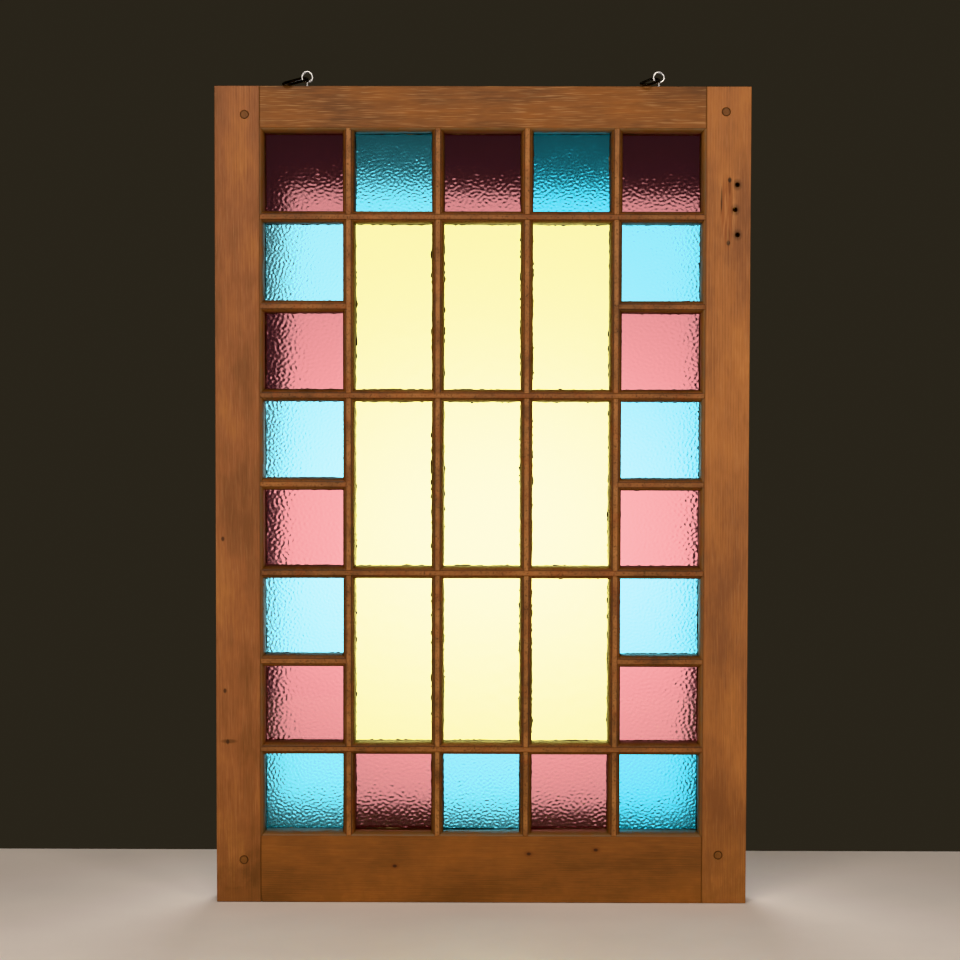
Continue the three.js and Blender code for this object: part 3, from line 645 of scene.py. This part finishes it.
def putty_loop(corners, walls, glass_y, wall_y, rng, least, most):
    """Vertices of one closed strip of three-cornered section round a pane. Its corners are those of the sight
    opening, walls gives how far the wall stands behind each side, and wall_y is the strip's far edge on it."""
    stations = []
    for side in range(4):
        start, end = Vector(corners[side]), Vector(corners[(side + 1) % 4])
        count = max(6, round((end - start).length / STATION_SPACING))
        along = (end - start).normalized()
        inward = Vector((-along.y, along.x))
        wall_start = start - inward * walls[side] - along * walls[side - 1]
        wall_end = end - inward * walls[side] + along * walls[(side + 1) % 4]
        for i in range(count):
            t = i / count
            stations.append((start.lerp(end, t), inward, wall_start.lerp(wall_end, t), t))
    # Broad swells and fine crumbs, cubed so that most of the edge lies back. It draws in at the corners.
    broad, fine = ragged(rng, len(stations), 14), ragged(rng, len(stations), 2)
    reach = least + (most - least) * (0.35 * broad ** 3 + 0.65 * fine ** 3)
    climb = ragged(rng, len(stations), 6)
    strip = []
    for (sight, inward, wall, t), out, up in zip(stations, reach, climb):
        edge = sight + inward * out * min(1, 8 * t, 8 * (1 - t) + 0.2)
        crest_y = glass_y + (wall_y - glass_y) * (0.82 + 0.18 * up)
        strip.append([(wall.x, glass_y, wall.y), (edge.x, glass_y, edge.y), (wall.x, crest_y, wall.y)])
    return strip


def strips_to_piece(name, strips, material):
    """One piece of all the strips, each closed on itself."""
    vertices, faces = [], []
    for strip in strips:
        first, count = len(vertices), len(strip)
        vertices.extend(point for station in strip for point in station)
        for i in range(count):
            here, following = first + 3 * i, first + 3 * ((i + 1) % count)
            for k in range(3):
                faces.append([here + k, here + (k + 1) % 3, following + (k + 1) % 3, following + k])
    mesh = bpy.data.meshes.new(name)
    mesh.from_pydata(vertices, [], faces)
    edit = bmesh.new()
    edit.from_mesh(mesh)
    bmesh.ops.recalc_face_normals(edit, faces=edit.faces)
    edit.to_mesh(mesh)
    mesh.materials.append(material)
    piece = bpy.data.objects.new(name, mesh)
    scene.collection.objects.link(piece)
    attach(piece, "root")


# Chalk and linseed oil, dried and dirty: dead matt, grey brown with darker patches and a gritty skin.
putty = bpy.data.materials.new("aged_linseed_putty")
putty.use_nodes = True
putty_tree = putty.node_tree
putty_place = add_node(putty_tree, "ShaderNodeTexCoord").outputs["Object"]
putty_patch = add_node(putty_tree, "ShaderNodeTexNoise", inputs={
    "Vector": putty_place, "Scale": 24, "Detail": 5, "Roughness": 0.7})
putty_colour = add_node(putty_tree, "ShaderNodeValToRGB", inputs={"Fac": putty_patch.outputs[0]})
putty_stops = putty_colour.color_ramp.elements
putty_stops[0].position, putty_stops[1].position = 0.42, 0.66
putty_stops[0].color, putty_stops[1].color = linear("#17110b"), linear("#86755c")
putty_stops.new(0.57).color = linear("#392b1d")
putty_grit = add_node(putty_tree, "ShaderNodeTexNoise", inputs={
    "Vector": putty_place, "Scale": 900, "Detail": 2})
putty_bump = add_node(putty_tree, "ShaderNodeBump", inputs={
    "Strength": 0.4, "Distance": 0.0004, "Height": putty_grit.outputs[0]})
putty_shader = putty_tree.nodes["Principled BSDF"]
putty_tree.links.new(putty_colour.outputs[0], putty_shader.inputs["Base Color"])
putty_tree.links.new(putty_bump.outputs[0], putty_shader.inputs["Normal"])
putty_shader.inputs["Roughness"].default_value = 0.85

beds, fillets = [], []
for index, node in enumerate(sorted(n for n in nodes if n.startswith("pane_"))):
    low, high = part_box(node)
    rng = np.random.default_rng(FIRST_PUTTY_SEED + index)
    x0, x1 = low.x + SIGHT_LAP, high.x - SIGHT_LAP
    z0, z1 = low.z + SIGHT_LAP, high.z - SIGHT_LAP
    corners = [(x0, z0), (x1, z0), (x1, z1), (x0, z1)]
    # Which sides lie in a stile's or rail's rebate, and how far the crumbs reach, most round the tall panes.
    on_frame = [low.z < -0.86, high.x > 0.24, high.z > -0.07, low.x < -0.24]
    walls = [FRAME_WALL if frame_side else BAR_WALL for frame_side in on_frame]
    most = 0.0026 if "yellow" in node else 0.0015
    beds.append(putty_loop(
        corners, [BED_WALL] * 4, low.y - GLASS_GAP, low.y - BED_DEPTH, rng, 0.0002, most))
    fillets.append(putty_loop(
        corners, walls, high.y + GLASS_GAP, high.y + FILLET_DEPTH, rng, -0.0009, 0.0003))
strips_to_piece("putty_beds", beds, putty)
strips_to_piece("putty_fillets", fillets, putty)


# Screw eyes
# Two screw eyes of 2.5 mm steel wire, bent to a 14 mm ring on a shank that is turned into the top rail.
# The zinc plate is still bright, with a dull bloom in places.
EYE_RING, EYE_WIRE = 0.00595, 0.00125
RING_STEPS, WIRE_SIDES = 72, 16
# The shank from its neck at the ring to its point: height from the ring's centre, and radius.
SHANK_FOOT = -0.031
SHANK = (
    (-EYE_RING + 0.0004, 0.0019), (-EYE_RING - 0.0010, 0.0017), (-EYE_RING - 0.0018, 0.0014),
    (-EYE_RING - 0.0028, EYE_WIRE), (-0.018, EYE_WIRE), (SHANK_FOOT + 0.004, EYE_WIRE), (SHANK_FOOT, 0.0003))


def wire_along(points, radii, closed):
    """Vertices and faces of a round wire on a path, its section carried along without twist."""
    count = len(points)
    vertices, faces = [], []
    side = None
    for i, point in enumerate(points):
        ahead = points[(i + 1) % count] if closed or i + 1 < count else point
        behind = points[i - 1] if closed or i else point
        along = (ahead - behind).normalized()
        side = along.orthogonal() if side is None else side - along * side.dot(along)
        side = side.normalized()
        other = along.cross(side)
        for k in range(WIRE_SIDES):
            turn = 2 * math.pi * k / WIRE_SIDES
            vertices.append(point + (side * math.cos(turn) + other * math.sin(turn)) * radii[i])
    for i in range(count if closed else count - 1):
        here, there = i * WIRE_SIDES, ((i + 1) % count) * WIRE_SIDES
        for k in range(WIRE_SIDES):
            following = (k + 1) % WIRE_SIDES
            faces.append([here + k, here + following, there + following, there + k])
    if not closed:
        faces.append(list(range(WIRE_SIDES))[::-1])
        faces.append([(count - 1) * WIRE_SIDES + k for k in range(WIRE_SIDES)])
    return vertices, faces


def smooth_piece(name, parts, material):
    """One piece of wires given by their vertices and faces, smooth but for the flat ends."""
    vertices, faces = [], []
    for part_vertices, part_faces in parts:
        first = len(vertices)
        vertices += part_vertices
        faces += [[first + i for i in face] for face in part_faces]
    mesh = bpy.data.meshes.new(name)
    mesh.from_pydata(vertices, [], faces)
    mesh.polygons.foreach_set("use_smooth", [len(face) == 4 for face in faces])
    mesh.materials.append(material)
    piece = bpy.data.objects.new(name, mesh)
    scene.collection.objects.link(piece)
    return piece


# Zinc plate on drawn steel wire: a silvery metal with a soft sparkle and faint grey bloom.
zinc = bpy.data.materials.new("zinc_plate")
zinc.use_nodes = True
zinc_tree = zinc.node_tree
zinc_place = add_node(zinc_tree, "ShaderNodeTexCoord").outputs["Object"]
zinc_bloom = add_node(zinc_tree, "ShaderNodeTexNoise", inputs={
    "Vector": zinc_place, "Scale": 400, "Detail": 4})
zinc_colour = add_node(zinc_tree, "ShaderNodeMix", {"data_type": "RGBA"}, {
    0: zinc_bloom.outputs[0], 6: linear("#a9abab"), 7: linear("#dcdddd")})
zinc_gloss = add_node(zinc_tree, "ShaderNodeMapRange", inputs={
    "Value": zinc_bloom.outputs[0], "From Min": 0.3, "From Max": 0.7, "To Min": 0.42, "To Max": 0.24})
zinc_shader = zinc_tree.nodes["Principled BSDF"]
zinc_tree.links.new(zinc_colour.outputs[2], zinc_shader.inputs["Base Color"])
zinc_tree.links.new(zinc_gloss.outputs[0], zinc_shader.inputs["Roughness"])
zinc_shader.inputs["Metallic"].default_value = 1.0

for side in ("left", "right"):
    low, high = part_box("screw_eye_" + side)
    middle = Vector(((low.x + high.x) / 2, 0, high.z - EYE_RING - EYE_WIRE))
    turns = np.linspace(0, 2 * math.pi, RING_STEPS + 1)[:-1]
    ring_points = [middle + Vector((math.sin(t), 0, math.cos(t))) * EYE_RING for t in turns]
    ring = wire_along(ring_points, [EYE_WIRE] * RING_STEPS, True)
    shank_points = [middle + Vector((0, 0, height)) for height, radius in SHANK]
    shank = wire_along(shank_points, [radius for height, radius in SHANK], False)
    eye = smooth_piece("eye_" + side, [ring, shank], zinc)
    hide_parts("screw_eye_" + side)
    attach(eye, "root")


# Hanging links
# A long link of 3 mm black steel hangs in each eye, lies over the top rail and comes to rest on its front
# arris. The steel was heat blackened, and it shows grey where it has rubbed.
LINK_LENGTH, LINK_WIDTH, LINK_WIRE = 0.038, 0.014, 0.003
LINK_END = Vector((-0.005, -0.0015, -0.0031))
LINK_HEADINGS = {"left": 42, "right": 30}
LINK_DIP, LINK_ROLL = math.radians(17), math.radians(12)
BEND_STEPS, SIDE_STEPS = 24, 10

black = bpy.data.materials.new("blackened_steel")
black.use_nodes = True
black_tree = black.node_tree
black_place = add_node(black_tree, "ShaderNodeTexCoord").outputs["Object"]
black_wear = add_node(black_tree, "ShaderNodeTexNoise", inputs={
    "Vector": black_place, "Scale": 260, "Detail": 5, "Roughness": 0.65})
black_colour = add_node(black_tree, "ShaderNodeValToRGB", inputs={"Fac": black_wear.outputs[0]})
black_stops = black_colour.color_ramp.elements
black_stops[0].position, black_stops[1].position = 0.5, 0.74
black_stops[0].color, black_stops[1].color = linear("#161515"), linear("#77736f")
black_shader = black_tree.nodes["Principled BSDF"]
black_tree.links.new(black_colour.outputs[0], black_shader.inputs["Base Color"])
black_shader.inputs["Metallic"].default_value = 1.0
black_shader.inputs["Roughness"].default_value = 0.3

for side, heading in LINK_HEADINGS.items():
    eye_low, eye_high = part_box("screw_eye_" + side)
    turn = math.radians(heading)
    outward = Vector((-math.sin(turn), -math.cos(turn), 0))
    along = outward * math.cos(LINK_DIP) + Vector((0, 0, -math.sin(LINK_DIP)))
    sideways = Vector((outward.y, -outward.x, 0))
    across = sideways * math.cos(LINK_ROLL) + sideways.cross(along) * math.sin(LINK_ROLL)
    radius, straight = (LINK_WIDTH - LINK_WIRE) / 2, LINK_LENGTH - LINK_WIDTH
    middle = Vector(((eye_low.x + eye_high.x) / 2, 0, 0)) + LINK_END + along * straight / 2
    path = []
    for end in (-1, 1):
        for t in np.linspace(0, math.pi, BEND_STEPS):
            bend = end * along * (straight / 2 + radius * math.sin(t))
            path.append(middle + end * across * radius * math.cos(t) + bend)
        for t in np.linspace(0, 1, SIDE_STEPS)[1:-1]:
            path.append(middle - end * across * radius + end * along * straight * (0.5 - t))
    link = smooth_piece("link_" + side, [wire_along(path, [LINK_WIRE / 2] * len(path), True)], black)
    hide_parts("hanging_link_" + side)
    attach(link, "root")
